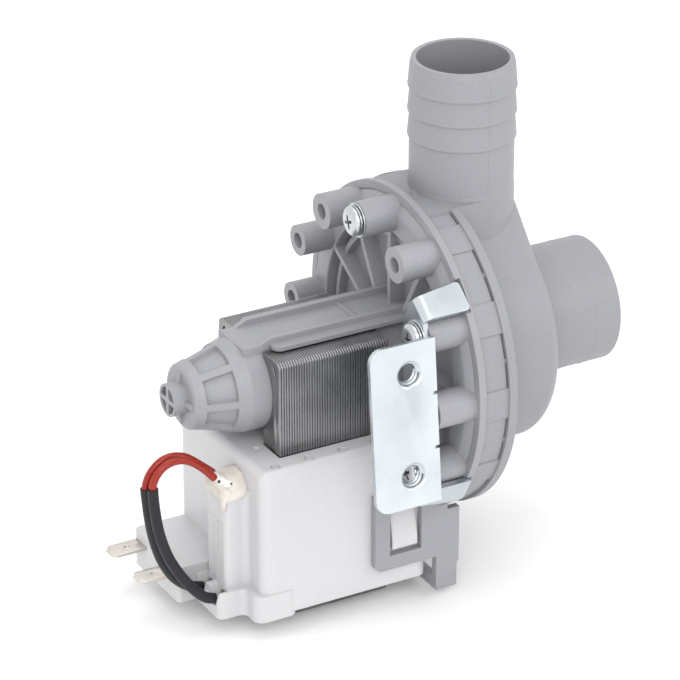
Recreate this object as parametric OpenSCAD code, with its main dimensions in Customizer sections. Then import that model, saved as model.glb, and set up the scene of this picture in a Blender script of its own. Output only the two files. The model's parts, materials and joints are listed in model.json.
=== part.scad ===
// Washer drain pump: synchronous wet-rotor motor, axial inlet, radial outlet.
// +X leaves the inlet along the pump axis, +Z leaves the outlet.
// The origin is the centre of the inlet's end. Distances called "behind the rim"
// or "ahead of the rim" are measured along X from the rear face of the cover's rim.

/* [Ports] */
// Distance of the inlet's end ahead of the rim
inlet_reach = 64.2; // [60:0.1:72]
// Outside diameter of the inlet spigot
inlet_d = 36.2; // [34:0.1:38]
// Wall of the inlet spigot
inlet_wall = 2.6; // [2:0.1:3.2]
// Distance of the outlet's axis ahead of the rim
outlet_x = 21.4; // [20.5:0.1:22.5]
// Height of the outlet's end above the pump axis
outlet_height = 82.3; // [78:0.1:95]
// Outside diameter of the outlet pipe between its barbs
outlet_d = 29.2; // [27.5:0.1:30]
// Wall of the outlet pipe
outlet_wall = 1.8; // [1.4:0.1:2.4]
// Height of a barb above the pipe
barb_rise = 0.4; // [0.2:0.05:0.8]
// Distance from the outlet's end to the edge of the first barb
barb_first = 7.9; // [7:0.1:10]
// Distance between barbs
barb_pitch = 7.2; // [6:0.1:8]
// Length of the full-diameter land on a barb
barb_land = 1.6; // [1:0.1:2.5]
// Number of barbs
barb_count = 3; // [1:1:4]

/* [Casing] */
// Diameter of the casing and the cover where they meet
body_d = 94.2; // [93:0.2:98]
// Step of the front flange beyond that edge
flange_step = 0.2; // [0:0.05:0.6]
// Thickness of the front flange
flange_t = 2.6; // [2:0.1:3.2]
// Distance of the flange's rear face ahead of the rim
skirt_depth = 9.4; // [9.2:0.1:11]
// Depth of the skirt between rim and flange below that edge
skirt_step = 1.9; // [1.6:0.1:2.2]
// Wall of the skirt
skirt_wall = 2; // [1.6:0.1:2.2]
// Depth of the skirt's raised blocks below that edge
block_step = 0.4; // [0.1:0.1:0.8]
// Diameter of the drum round the impeller
drum_d = 66.4; // [65:0.1:67.4]
// Wall of the drum
drum_wall = 2.5; // [2:0.1:2.8]
// Distance of the drum's front face ahead of the rim
drum_front = 35.6; // [34:0.1:35.8]
// Radius of the drum's front edge
drum_edge = 4.4; // [3:0.1:6]
// Depth of the flat behind the outlet below that edge
flat_drop = 2; // [1.6:0.1:2.3]

/* [Cover] */
// Thickness of the rim
rim_t = 2.2; // [1.8:0.1:2.6]
// Width of the rim's rear face
rim_w = 2.5; // [2:0.1:3]
// Depth of the ribbed web ahead of the rim
web_x = 3.2; // [3:0.1:3.6]
// Thickness of the web
web_t = 2.2; // [1.8:0.1:2.4]
// Distance of a boss's axis inside the body's edge
boss_inset = 6.4; // [6.1:0.1:6.8]
// Outside diameter of a boss
boss_d = 10.2; // [9.4:0.1:10.6]
// Diameter of the screw hole in a boss
boss_hole_d = 4.5; // [4:0.1:5]
// Length of the bosses behind the rim
boss_reach = 11.5; // [9:0.1:14]
// Thickness of the ribs on the web
rib_t = 1.6; // [1.2:0.1:2.2]
// Outside diameter of the register ring inside the casing
register_d = 69.2; // [68.4:0.1:69.8]
// Width of the seal between the register and the casing
seal_w = 3.6; // [2.4:0.1:3.8]

/* [Rotor can] */
// Outside diameter of the can
can_d = 26.9; // [26.5:0.1:27.3]
// Wall of the can
can_wall = 1.4; // [1.2:0.1:1.6]
// Distance of the collar, where the cone starts, behind the rim
collar_x = 51; // [49:0.1:53]
// Distance of the cone's small end behind the rim
cone_x = 65.2; // [63.5:0.1:67]
// Diameter of the cone's small end
cone_d = 18.8; // [17.5:0.1:20]
// Number of ribs on the cone
cone_ribs = 7; // [5:1:9]
// Width of a rib on the cone
cone_rib_w = 2.2; // [1.6:0.1:2.6]
// Depth of the panels between the cone's ribs
panel_depth = 1.4; // [0.8:0.1:1.6]
// Length of the plain collar behind the ribs
collar_len = 4; // [2:0.1:5]
// Distance of the nose's end behind the rim
nose_x = 70.7; // [69:0.1:73]
// Diameter of the nose
nose_d = 9.4; // [9:0.1:10.5]
// Height of the rails above the pump axis
rail_top = 15.2; // [14.4:0.1:17]
// Thickness of a rail
rail_t = 1.6; // [1.2:0.1:2]

/* [Stator core] */
// Distance of the first sheet behind the rim
stack_x = 45.6; // [43:0.1:47]
// Length of the stack of sheets
stack_len = 34; // [30:0.1:35]
// Width of the core across its legs
core_w = 35.5; // [35:0.1:36.4]
// Height of the poles above the pump axis
core_top = 12.1; // [11:0.1:12.4]
// Depth of the yoke's underside below the pump axis
core_bottom = 67; // [66:0.1:70]
// Gap between the legs
core_slot = 16.4; // [16:0.1:17]
// Height of the yoke
yoke_h = 9; // [8:0.1:9.4]

/* [Coil box] */
// Distance of the box's rear wall behind the rim
box_x = 55; // [54:0.1:56]
// Distance of the box's front wall behind the rim
box_front = 2.8; // [2.2:0.1:4]
// Width of the box
box_w = 50; // [49:0.1:50.2]
// Depth of the box's top below the pump axis
box_top = 15.8; // [14.4:0.1:16.4]
// Depth of the box's lower edge below the pump axis
box_bottom = 60.5; // [60:0.1:61.5]
// Radius of the box's upright corners
box_corner = 3; // [2:0.1:4]
// Radius of the box's top edges
box_edge = 2.2; // [1:0.1:2.4]
// Radius of the fillets between the box and the lead tower
tower_fillet = 2; // [1:0.1:2.4]
// Distance of the lead tower's face behind the rim
tower_x = 62; // [61:0.1:63]
// Depth of the plinth's top below the pump axis
plinth_top = 53.5; // [52.5:0.1:54.5]
// Depth of the plinth's underside below the pump axis
plinth_bottom = 61.7; // [61:0.1:64]
// Distance of the terminal block's face behind the rim
block_x = 70.6; // [68:0.1:71]
// Width of a tab terminal
tab_w = 6.3; // [4.8:0.1:6.5]
// Thickness of a tab terminal
tab_t = 0.8; // [0.5:0.1:1]
// Bare length of a tab terminal
tab_len = 10.4; // [9:0.1:14]
// Distance between the tab terminals
tab_pitch = 17; // [15:0.1:17.5]

/* [Clips and feet] */
// Length of a side clip behind the rim
clip_x = 21; // [18:0.1:23]
// Thickness of a side clip
clip_t = 2; // [1.6:0.1:2.4]
// Depth of a side clip's lower edge below the pump axis
clip_bottom = 54.3; // [53.5:0.1:55.5]
// Width of the foot below a side clip
foot_w = 6.7; // [5:0.1:7]
// Depth of the feet below the pump axis
foot_bottom = 65; // [63.5:0.1:66]
// Width of the window in a side clip
window_w = 10; // [8:0.1:11]
// Height of the window in a side clip
window_h = 13.5; // [12:0.1:14.5]

/* [Bracket] */
// Thickness of the bracket's sheet
sheet_t = 1.5; // [1.2:0.1:1.8]
// Distance of the bracket's outer face inside the body's edge
bracket_inset = 1.7; // [0.4:0.1:2]
// Angle at which the plate leans towards the pump axis
bracket_lean = 5.7; // [0:0.1:7]
// Width of the bracket's plate
bracket_w = 20.6; // [18:0.1:24]
// Height of the bracket's plate
bracket_h = 47.4; // [46:0.1:54]
// Radius of the plate's free corners
bracket_corner = 4; // [2:0.1:6]
// Core diameter of the tapped holes
tap_d = 5.2; // [4.4:0.1:5.6]
// Width of the flare of a tapped hole
tap_flare = 7.1; // [6:0.1:7.8]
// Distance between the tapped holes
tap_pitch = 29.5; // [28:0.1:33]
// Length of the drawn collar behind a tapped hole
tap_collar = 2.4; // [1.5:0.1:3]

/* [Screws] */
// Diameter of a screw's shank
screw_d = 3.3; // [3:0.1:3.6]
// Diameter of a screw's head
head_d = 9.8; // [8.6:0.1:10]
// Height of a screw's head
head_h = 3; // [2.6:0.1:3.4]
// Length of a screw under its head
screw_len = 21; // [19:0.1:22]

/* [Rotor] */
// Diameter of the rotor shaft
shaft_d = 4; // [3.5:0.1:4.4]
// Diameter of the rotor magnet
magnet_d = 22.4; // [20:0.1:22.8]
// Outside diameter of the magnet's carrier
carrier_d = 7; // [6:0.1:8]
// Outside diameter of the bearings
bearing_d = 8.4; // [7.6:0.1:9]
// Length of the bearings
bearing_len = 6.4; // [5:0.1:6.8]

/* [Impeller] */
// Diameter of the impeller
impeller_d = 52; // [44:0.2:58]
// Number of blades
blade_count = 6; // [3:1:9]
// Thickness of a blade
blade_t = 2; // [1.4:0.1:2.6]
// Length of the blades along the axis
blade_len = 17; // [12:0.1:20]
// Outside diameter of the impeller's hub
hub_d = 17.2; // [16.6:0.1:19]
// Angle taken by the driving dog, and by the lug that it meets
dog_angle = 50; // [40:1:70]

/* [Leads] */
// Diameter of a lead
lead_d = 2.2; // [1.8:0.1:2.3]
// Diameter of a sleeve
sleeve_d = 3.1; // [2.6:0.1:3.2]

/* [Hidden] */
$fn = 96;

// Clearance between seated pieces, and between running round faces
fit = 0.3;
slip = 0.05;
run = 0.03;

// Sizes that follow the edge where casing and cover meet
rim_d = body_d;
flange_d = body_d + 2 * flange_step;
skirt_d = body_d - 2 * skirt_step;
block_d = body_d - 2 * block_step;
neck_top = body_d / 2 - flat_drop;
boss_circle_d = body_d - 2 * boss_inset;
bracket_y = body_d / 2 - bracket_inset;
function on_circle(r, a) = [r * cos(a), r * sin(a)];

// Stations along X, measured from the rim
x_edge = drum_front - drum_edge;
x_web = web_x + web_t;
x_register = skirt_depth - 0.4;
seal_t = 1.4;
x_ledge = x_register + seal_t;
x_seat = -boss_reach;
inlet_root = 0.8;
drum_r = drum_d / 2;
chamber_r = drum_r - drum_wall;
register_wall = 1.9;
ring_wall = 1.6;
ring_d = register_d - 2;
socket_d = register_d + 2 * fit;
web_d = skirt_d - 2 * skirt_wall - 2 * fit;
can_r = can_d / 2;
can_bore_d = can_d - 2 * can_wall;
bore_floor_d = 16;
inlet_bore_d = inlet_d - 2 * inlet_wall;
outlet_bore_d = outlet_d - 2 * outlet_wall;

// Bosses stand every 30 degrees where the coil box leaves room
boss_angles = [0, 30, 60, 90, 120, 150, 180, 210, 330];
// The two bosses beside the far end of the core are slimmer and shorter
function slim(a) = a < 45;
function boss_od(a) = slim(a) ? boss_d - 1.2 : boss_d;
function boss_back(a) = x_seat + (a == 0 ? 1.3 : a == 30 ? 0.5 : 0);
roof_angle = 139;
roof_len = 30;
roof_r = drum_d / 2 - 0.25;
roof_edge = drum_front - drum_edge - 0.15;
neck_w = outlet_d + 0.3;
screw_angle_top = 90;
screw_angle_side = 330;
screw_angle_upper = 150;
screw_angle_lower = 210;

// Rails on the can
rail_y = core_slot / 2 - 0.7;
rail_start = collar_x + 2.4;
rail_full = stack_x - 2.6;
lip_y = 11;
lip_t = 1.2;
lip_r = 2.4;
lip_z = core_top + fit;

// Rotor stations
bearing_rear_x = -cone_x - 0.3;
bearing_rear_end = bearing_rear_x + bearing_len;
bore_floor_x = bearing_rear_end + 0.1;
bearing_front_end = x_web + 0.6;
bearing_front_x = bearing_front_end - bearing_len;
washer_t = 1;
washer_gap = 0.2;
magnet_x = -stack_x;
magnet_end = magnet_x + stack_len;
holder_rear = bearing_front_x - 1;
carrier_x = bearing_rear_end + washer_t + 2 * washer_gap;
carrier_end = holder_rear - washer_t - 2 * washer_gap;
holder_face = x_web + 1.8;

// Impeller stations
impeller_x = holder_face + 0.8;
cover_t = 1.2;
dog_x = impeller_x + cover_t + fit;
dog_len = 5.2;
cup_end = dog_x + dog_len + fit;
impeller_end = impeller_x + blade_len;
cup_d = hub_d - 3;
dog_d = cup_d - 2 * fit;
dog_core_d = shaft_d + 4;
cap_seat_d = shaft_d + 4;
cap_d = cap_seat_d + 2;
cap_h = 3;
shaft_end = impeller_end - 1.5;

// Coil box
box_r = box_w / 2;
leg_y0 = core_slot / 2;
leg_y1 = core_w / 2;
former_wall = 1;
former_gap = 0.2;
winding_t = 3.6;
coil_top = -box_top - 3.4;
coil_bottom = -core_bottom + yoke_h + 3.4;
tower_y0 = -16;
tower_y1 = -4.5;
tower_top = -24;
fuse_x = 3.4 - tower_x;
fuse_y = -10.6;
fuse_depth = 12;
plinth_out = 3;
plinth_side = box_r + 0.3;
plinth_front = 44;
term_top = -50.7;
term_y0 = -3.9;
term_y1 = 23.2;
tab_z = -54;
tab_mid = 10.3;
tab_seat = 5;
catch_out = clip_t - 0.2;
clip_y = box_r + fit;
window_x = -11.2;
window_z = -43.3;
clip_front = 6;
foot_front = 5.4;
foot_step = 57;
clip_top = 31;

// Bracket
flange_x = x_seat - sheet_t;
plate_x1 = x_seat;
plate_x0 = plate_x1 - bracket_w;
lug_x1 = plate_x1 - 0.5;
tap_x = plate_x0 + 11.9;
tap_collar_d = tap_d + 2.8;
relief_w = 0.9;
relief_depth = 1.3;
bend_h = 14.8;
bend_r = sheet_t + 0.8;
hook_front = 1.2;
hook_upper_w = 9;
hook_lower_w = 10;
hook_r = 1.4;
hook_upper = on_circle(body_d / 2 + 1.08, 145.5);
hook_upper_angle = 38.4;
hook_lower = on_circle(body_d / 2 + 1.84, 221.8);
hook_lower_angle = 120.7;

// Leads and sleeves
recess_z = -56.4;
recess_inner_y = -14.4;
recess_outer_y = -7;
recess_d = sleeve_d + 2 * fit;
trough_flare = 0.9;
// The leads leave the silicone's tip side by side, up and back at 45 degrees
seal_tip = [-tower_x - 1, -11.8, tower_top + 4.5];
lead_start = lead_d * [0.14, 0.48, 0.14];
// Points that the leads and sleeves pass on their way to the plinth
lead_outer_points = [seal_tip + lead_start, [-66.3, -10.7, -16], [-70, -10.5, -13], [-73, -10.4, -11.7],
  [-76, -10.4, -11.4], [-78.7, -10.3, -12.4], [-81, -10.2, -14.6], [-82.2, -10, -17], [-82.6, -9.9, -19.3]];
lead_inner_points = [seal_tip - lead_start, [-66.5, -12.9, -16.2], [-70, -13, -13.2], [-73, -13, -11.8],
  [-76, -13, -11.6], [-78.5, -13, -12.4], [-80.5, -13, -14.2], [-81.6, -13, -16.2], [-82, -13, -18.2]];
sleeve_outer_points = [[-82.6, -9.9, -19.3], [-82.2, -9.9, -24.5], [-81.5, -9.9, -30.4], [-80.3, -9.8, -36.4],
  [-78.2, -9.6, -42.8], [-75.2, -9.1, -48.4], [-72.4, -8.6, -51.7], [-70.2, -8, -53.6], [-67.8, -7.4, -55.2],
  [-64.6, recess_outer_y, recess_z]];
sleeve_inner_points = [[-82, -13, -18.2], [-81.8, -13.1, -23], [-81.1, -13.2, -29], [-80, -13.2, -34.2],
  [-78, -13.3, -40.2], [-75.3, -13.5, -45.5], [-72.5, -13.7, -49.8], [-69.8, -14, -53.1],
  [-67.3, -14.2, -55.4], [-64.6, recess_inner_y, recess_z]];

module along_x(x0) {
  translate([x0, 0, 0]) rotate([0, 90, 0]) children();
}

module rod(d, x0, x1) {
  along_x(x0) cylinder(d = d, h = x1 - x0);
}

module tube(d_out, d_in, x0, x1) {
  difference() {
    rod(d_out, x0, x1);
    rod(d_in, x0 - 1, x1 + 1);
  }
}

// Turns a profile drawn as radius and X about the pump axis
module spun() {
  rotate([0, 90, 0]) rotate_extrude() children();
}

module block(lo, hi) {
  translate(lo) cube(hi - lo);
}

// Extrude a section drawn as Y and Z along X
module along_plate(x0, x1) {
  translate([x0, 0, 0]) rotate([90, 0, 90]) linear_extrude(x1 - x0) children();
}

// Extrude a section drawn as X and Z along Y
module across_plate(y0, y1) {
  translate([0, y1, 0]) rotate([90, 0, 0]) linear_extrude(y1 - y0) children();
}

// Extrude a plan drawn as X and Y along Z
module upright(z0, z1) {
  translate([0, 0, z0]) linear_extrude(z1 - z0) children();
}

// Rectangle with round corners, from corner to corner
module rounded(lo, hi, r) {
  translate([lo[0] + r, lo[1]]) square([hi[0] - lo[0] - 2 * r, hi[1] - lo[1]]);
  translate([lo[0], lo[1] + r]) square([hi[0] - lo[0], hi[1] - lo[1] - 2 * r]);
  for (x = [lo[0] + r, hi[0] - r], y = [lo[1] + r, hi[1] - r]) {
    translate([x, y]) circle(r);
  }
}

module at_boss(angle) {
  rotate([angle, 0, 0]) translate([0, boss_circle_d / 2, 0]) children();
}

// Moves from the rim to the inlet's end, where the origin is
module placed() {
  translate([-inlet_reach, 0, 0]) children();
}

// Smooth path through chosen points
function spline(p0, p1, p2, p3, t) =
  0.5 * (2 * p1 + (p2 - p0) * t + (2 * p0 - 5 * p1 + 4 * p2 - p3) * t * t
  + (3 * p1 - p0 - 3 * p2 + p3) * t * t * t);
function pick(points, i) = points[max(0, min(len(points) - 1, i))];
function path(points, steps) = concat(
  [for (i = [0 : len(points) - 2], k = [0 : steps - 1])
    spline(pick(points, i - 1), points[i], points[i + 1], pick(points, i + 2), k / steps)],
  [points[len(points) - 1]]);
function unit(v) = v / norm(v);
function tangent(p, i) = unit(pick(p, i + 1) - pick(p, i - 1));
function ring(p, i, d, sides) =
  let (t = tangent(p, i))
  let (side = unit(cross(t, [0, 1, 0])))
  let (up = cross(side, t))
  [for (k = [0 : sides - 1]) p[i] + d / 2 * (cos(360 * k / sides) * side + sin(360 * k / sides) * up)];

// Round cord along a path
module cord(p, d, sides = 8) {
  n = len(p);
  points = [for (i = [0 : n - 1]) each ring(p, i, d, sides)];
  walls = [for (i = [0 : n - 2], k = [0 : sides - 1])
    let (a = i * sides + k)
    let (b = i * sides + (k + 1) % sides)
    each [[a, b, b + sides], [a, b + sides, a + sides]]];
  first = [for (k = [1 : sides - 2]) [0, k + 1, k]];
  last = [for (k = [1 : sides - 2]) [(n - 1) * sides, (n - 1) * sides + k, (n - 1) * sides + k + 1]];
  polyhedron(points, concat(walls, first, last));
}

// Section of the drum with its round front edge, drawn smaller by an inset
module drum_section(inset) {
  translate([0, skirt_depth]) square([drum_r - inset, x_edge - skirt_depth]);
  translate([0, skirt_depth]) square([drum_r - drum_edge, drum_front - inset - skirt_depth]);
  translate([drum_r - drum_edge, x_edge]) circle(drum_edge - inset);
}

// Walls that run from the outlet to the drum, and the flat behind the outlet
module neck() {
  for (s = [0, 1]) {
    mirror([0, s, 0]) rotate([roof_angle, 0, 0]) upright(-roof_len, 0) {
      translate([skirt_depth + 1, 0]) square([roof_edge - skirt_depth - 1, roof_r]);
      translate([skirt_depth + 1, 0]) square([roof_edge + drum_edge - skirt_depth - 1, roof_r - drum_edge]);
      translate([roof_edge, roof_r - drum_edge]) circle(drum_edge);
    }
  }
  upright(drum_r - 4, neck_top) {
    translate([outlet_x, 0]) circle(d = neck_w);
    translate([skirt_depth + 1, -neck_w / 2]) square([outlet_x - skirt_depth - 1, neck_w]);
  }
}

// Round section cut level with the flat behind the outlet
module levelled() {
  difference() {
    union() {
      children();
      translate([-neck_w / 2, neck_top - 6]) square([neck_w, 6]);
    }
    translate([-neck_w / 2, neck_top]) square([neck_w, 20]);
  }
}

// Flange, skirt, raised blocks, and the socket and bosses inside the skirt
module casing_edge() {
  along_plate(skirt_depth, skirt_depth + flange_t) levelled() circle(d = flange_d);
  along_plate(rim_t, skirt_depth + 1) difference() {
    levelled() {
      circle(d = skirt_d);
      for (a = [0 : 30 : 330]) {
        intersection() {
          circle(d = block_d);
          rotate(a) translate([skirt_d / 2 - 1.2, -4.5]) square([block_d, 9]);
        }
        rotate(a + 15) translate([skirt_d / 2 - 1, -0.6]) square([(block_d - skirt_d) / 2 + 0.5, 1.2]);
      }
    }
    circle(d = skirt_d - 2 * skirt_wall);
  }
  along_plate(x_web, skirt_depth + 0.6) {
    circle(d = socket_d + 4);
    for (a = boss_angles) {
      rotate(a) translate([boss_circle_d / 2, 0]) circle(d = boss_d - 0.8);
    }
  }
}

// Section of the chamber, with its mouth and the socket of the cover's register
module chamber_section() {
  drum_section(drum_wall);
  translate([0, x_ledge - 1]) square([chamber_r, x_edge - x_ledge + 1]);
  translate([0, -1]) square([socket_d / 2, x_ledge + 1]);
}

module volute_casing() {
  color("lightslategray") placed() difference() {
    union() {
      spun() drum_section(0);
      neck();
      casing_edge();
    }
    spun() chamber_section();
    rod(inlet_bore_d, x_edge, drum_front + 1);
    translate([outlet_x, 0, chamber_r / 2]) cylinder(d = outlet_bore_d, h = outlet_height);
    translate([outlet_x, 0, neck_top]) cylinder(d = outlet_d + 2 * slip, h = outlet_height);
    for (a = boss_angles) {
      at_boss(a) rod(screw_d + 2 * slip, -1, skirt_depth + flange_t - 0.8);
    }
  }
}

// Tube for the inlet hose, moulded on the drum's front face
module inlet_spigot() {
  inlet_r = inlet_d / 2;
  color("lightslategray") placed() spun()
    polygon([[inlet_bore_d / 2, drum_front], [inlet_r + inlet_root, drum_front],
      [inlet_r, drum_front + inlet_root], [inlet_r, inlet_reach], [inlet_bore_d / 2, inlet_reach]]);
}

// Tube for the outlet hose with its barbs, moulded on the flat of the neck
module outlet_spigot() {
  outlet_r = outlet_d / 2;
  crest_r = outlet_r + barb_rise;
  color("lightslategray") placed() translate([outlet_x, 0, 0]) rotate_extrude() difference() {
    union() {
      translate([0, neck_top]) square([outlet_r, outlet_height - neck_top - 1.5]);
      polygon([[0, outlet_height - 2], [outlet_r, outlet_height - 2], [outlet_r, outlet_height - 1.5],
        [outlet_r - 0.4, outlet_height], [0, outlet_height]]);
      for (i = [0 : barb_count - 1]) {
        translate([0, outlet_height - barb_first - i * barb_pitch])
          polygon([[0, 0], [crest_r, 0], [crest_r, barb_land], [outlet_r, barb_pitch - 1],
            [0, barb_pitch - 1]]);
      }
    }
    translate([-1, 0]) square([outlet_bore_d / 2 + 1, 2 * outlet_height]);
  }
}

module casing_seal() {
  color("dimgray") placed()
    tube(register_d, register_d - 2 * seal_w, x_register, x_ledge);
}

// Outer form of the rotor can, with its ribbed cone and nose
module can_outer() {
  cone_len = cone_x - collar_x;
  rod(can_d, -collar_x, x_web);
  along_x(-cone_x) cylinder(d1 = cone_d - 2 * panel_depth, d2 = can_d - 2 * panel_depth, h = cone_len);
  intersection() {
    along_x(-cone_x) cylinder(d1 = cone_d, d2 = can_d, h = cone_len);
    union() {
      for (i = [0 : cone_ribs - 1]) {
        rotate([180 + 360 * i / cone_ribs, 0, 0])
          block([-cone_x, 0, -cone_rib_w / 2], [-collar_x, can_d, cone_rib_w / 2]);
      }
      rod(can_d, -collar_x - collar_len, -collar_x);
      rod(can_d, -cone_x, -cone_x + 1.8);
    }
  }
  spun() {
    translate([cone_d / 2 - 1.4, -cone_x]) circle(1.4);
    translate([0, -cone_x - 1.4]) square([cone_d / 2 - 1.4, 2.8]);
  }
  rod(nose_d, -nose_x, -cone_x);
  for (a = [0 : 90 : 270]) {
    rotate([a, 0, 0]) across_plate(-rib_t / 2, rib_t / 2)
      polygon([[-cone_x, 0], [-cone_x, cone_d / 2 - 1.6], [-cone_x - 1.8, cone_d / 2 - 1.8],
        [-cone_x - 2.6, nose_d / 2 - 0.3], [-cone_x - 2.6, 0]]);
  }
}

// Section of the can's bore, with its tapered end and the seat of the rear bearing
module can_bore_section() {
  seat_r = bearing_d / 2 + slip;
  polygon([[0, bearing_rear_x], [seat_r, bearing_rear_x], [seat_r, bore_floor_x],
    [bore_floor_d / 2, bore_floor_x], [can_bore_d / 2, 2 - collar_x], [can_bore_d / 2, x_web + 1],
    [0, x_web + 1]]);
}

// Rails above the can that hold down the stator's poles
module rails() {
  for (s = [0, 1]) {
    mirror([0, s, 0]) {
      across_plate(rail_y - rail_t, rail_y)
        polygon([[-rail_start, can_r - 3.4], [-rail_full, rail_top], [x_web, rail_top],
          [x_web, can_r - 3.4]]);
      upright(lip_z, lip_z + lip_t) translate([-rail_full, 0]) {
        translate([0, rail_y - 0.4]) square([rail_full + x_web, lip_y - lip_r - rail_y + 0.4]);
        translate([lip_r, rail_y - 0.4]) square([rail_full + x_web - lip_r, lip_y - rail_y + 0.4]);
        translate([lip_r, lip_y - lip_r]) circle(lip_r);
      }
    }
  }
  block([-collar_x, -rail_y + 0.2, can_r - 3], [x_web, rail_y - 0.2, can_r]);
  block([-15.4, -rail_y + 0.2, can_r - 1], [-13.8, rail_y - 0.2, can_r + 0.5]);
}

// Side clip with its window, and the foot below it
module side_clip() {
  difference() {
    across_plate(clip_y, clip_y + clip_t)
      polygon([[-clip_x, -clip_top], [rim_t, -clip_top], [rim_t, -40], [clip_front, -40],
        [clip_front, -foot_step], [foot_front, -foot_step - 0.8], [foot_front, -foot_bottom],
        [foot_front - foot_w, -foot_bottom], [foot_front - foot_w, -clip_bottom],
        [1.5 - clip_x, -clip_bottom], [-clip_x, 1.5 - clip_bottom]]);
    across_plate(clip_y - 1, clip_y + clip_t + 1)
      translate([window_x - window_w / 2, window_z - window_h / 2]) square([window_w, window_h]);
  }
}

// Plate between the feet, with an opening beside each foot
module end_plate() {
  x0 = foot_front - foot_w;
  difference() {
    block([x0, -clip_y - 0.5, -foot_bottom], [x0 + 2.2, clip_y + 0.5, -43]);
    for (s = [0, 1]) {
      mirror([0, s, 0]) along_plate(x0 - 1, x0 + 4)
        rounded([16, 3.4 - foot_bottom], [clip_y - 0.2, -54.5], 1.5);
    }
  }
}

// Recess in the rim under a hook of the bracket
module hook_recess(at, angle, width) {
  translate([0, at[0], at[1]]) rotate([angle, 0, 0])
    block([-1, -fit, -sheet_t - fit], [hook_front + fit, width + fit, 6]);
}

// Section of the rim, the web, the register and the ring between the ribs
module disc_section() {
  translate([rim_d / 2 - rim_w, 0]) square([rim_w, rim_t]);
  translate([web_d / 2 - 1.5, 1]) square([(rim_d - web_d) / 2 + 1, rim_t - 1]);
  translate([web_d / 2 - 1.5, 1]) square([1.5, x_web - 1]);
  translate([0, web_x]) square([web_d / 2 - 0.5, web_t]);
  translate([register_d / 2 - register_wall, x_web - 0.5]) square([register_wall, x_register - x_web + 0.5]);
  translate([ring_d / 2 - ring_wall, 0.4]) square([ring_wall, web_x - 0.2]);
}

module rear_cover() {
  color("darkgray") placed() difference() {
    union() {
      spun() disc_section();
      can_outer();
      rails();
      along_plate(-1.5, web_x + 0.2) {
        for (a = [0 : 30 : 330]) {
          rotate(a) translate([can_r - 0.8, -rib_t / 2]) square([boss_circle_d / 2 - can_r - 1.2, rib_t]);
        }
      }
      for (a = boss_angles) {
        at_boss(a) rod(boss_od(a), boss_back(a), rim_t - 0.2);
      }
      along_plate(rim_t - 0.5, web_x + 0.5) intersection() {
        circle(d = web_d - 1);
        for (a = boss_angles) {
          rotate(a) translate([boss_circle_d / 2, 0]) circle(d = boss_d - 3);
        }
      }
      side_clip();
      mirror([0, 1, 0]) side_clip();
      end_plate();
    }
    hook_recess(hook_upper, hook_upper_angle, hook_upper_w);
    hook_recess(hook_lower, hook_lower_angle, hook_lower_w);
    spun() can_bore_section();
    for (a = boss_angles) {
      at_boss(a) rod(boss_hole_d, x_seat - 1, 0.8);
      at_boss(a) rod(screw_d + 0.4, 0.5, x_web + 1);
    }
    intersection() {
      tube(nose_d - 1.6, 2.6, -nose_x - 1, -nose_x + 2.5);
      for (a = [0 : 90 : 270]) {
        rotate([a, 0, 0]) block([-nose_x - 1, 0.6, 0.6], [-nose_x + 3, nose_d, nose_d]);
      }
    }
  }
}

module bearing_bush(x0) {
  tube(bearing_d, shaft_d + 2 * run, x0, x0 + bearing_len);
}

module rear_bearing() {
  color("darkgoldenrod") placed() bearing_bush(bearing_rear_x);
}

module front_bearing() {
  color("darkgoldenrod") placed() bearing_bush(bearing_front_x);
}

// Plug in the mouth of the can that carries the front bearing
module bearing_holder() {
  color("black") placed() difference() {
    union() {
      rod(can_bore_d - 2 * slip, holder_rear, x_web);
      rod(can_d + 2, x_web, holder_face);
    }
    rod(bearing_d + 2 * slip, bearing_front_x, holder_face + 1);
    rod(shaft_d + 1, holder_rear - 1, bearing_front_x + 1);
  }
}

module stator_core() {
  color("dimgray") placed() along_plate(-stack_x, -stack_x + stack_len) difference() {
    rounded([-core_w / 2, -core_bottom], [core_w / 2, core_top], 2);
    translate([-core_slot / 2, -core_bottom + yoke_h]) square([core_slot, 2 * core_bottom]);
    circle(d = can_d + 2 * fit);
    // Slots that lock the sheets together
    for (s = [0, 1]) {
      mirror([s, 0]) translate([leg_y1 - 2.8, core_top - 3.1]) rotate(28)
        rounded([-0.4, -1.6], [0.4, 1.6], 0.35);
    }
  }
}

// Room for one leg of the core, larger by a gap
module leg_room(gap, z0, z1) {
  block([-stack_x - gap, leg_y0 - gap, z0], [-stack_x + stack_len + gap, leg_y1 + gap, z1]);
}

module former() {
  difference() {
    union() {
      leg_room(former_gap + former_wall, coil_bottom, coil_top);
      leg_room(former_gap + former_wall + winding_t, coil_top - former_wall, coil_top);
      leg_room(former_gap + former_wall + winding_t, coil_bottom, coil_bottom + former_wall);
    }
    leg_room(former_gap, coil_bottom - 1, coil_top + 1);
  }
}

module winding() {
  difference() {
    leg_room(former_gap + former_wall + winding_t - 0.4,
      coil_bottom + former_wall + 0.1, coil_top - former_wall - 0.1);
    leg_room(former_gap + former_wall + 0.1, coil_bottom - 1, coil_top + 1);
  }
}

module coil_former_far() {
  color("ivory") placed() former();
}

module coil_former_near() {
  color("ivory") placed() mirror([0, 1, 0]) former();
}

module winding_far() {
  color("peru") placed() winding();
}

module winding_near() {
  color("peru") placed() mirror([0, 1, 0]) winding();
}

// Catch on the box's side that snaps into a clip's window
module catch() {
  along_plate(window_x - window_w / 2 + 1, window_x + window_w / 2 - 1)
    polygon([[box_r - 0.5, window_z + window_h / 2 - 1], [box_r, window_z + window_h / 2 - 1],
      [box_r + catch_out, window_z - 2.5], [box_r + catch_out, window_z - window_h / 2 + 1.5],
      [box_r - 0.5, window_z - window_h / 2 + 1.5]]);
}

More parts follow.
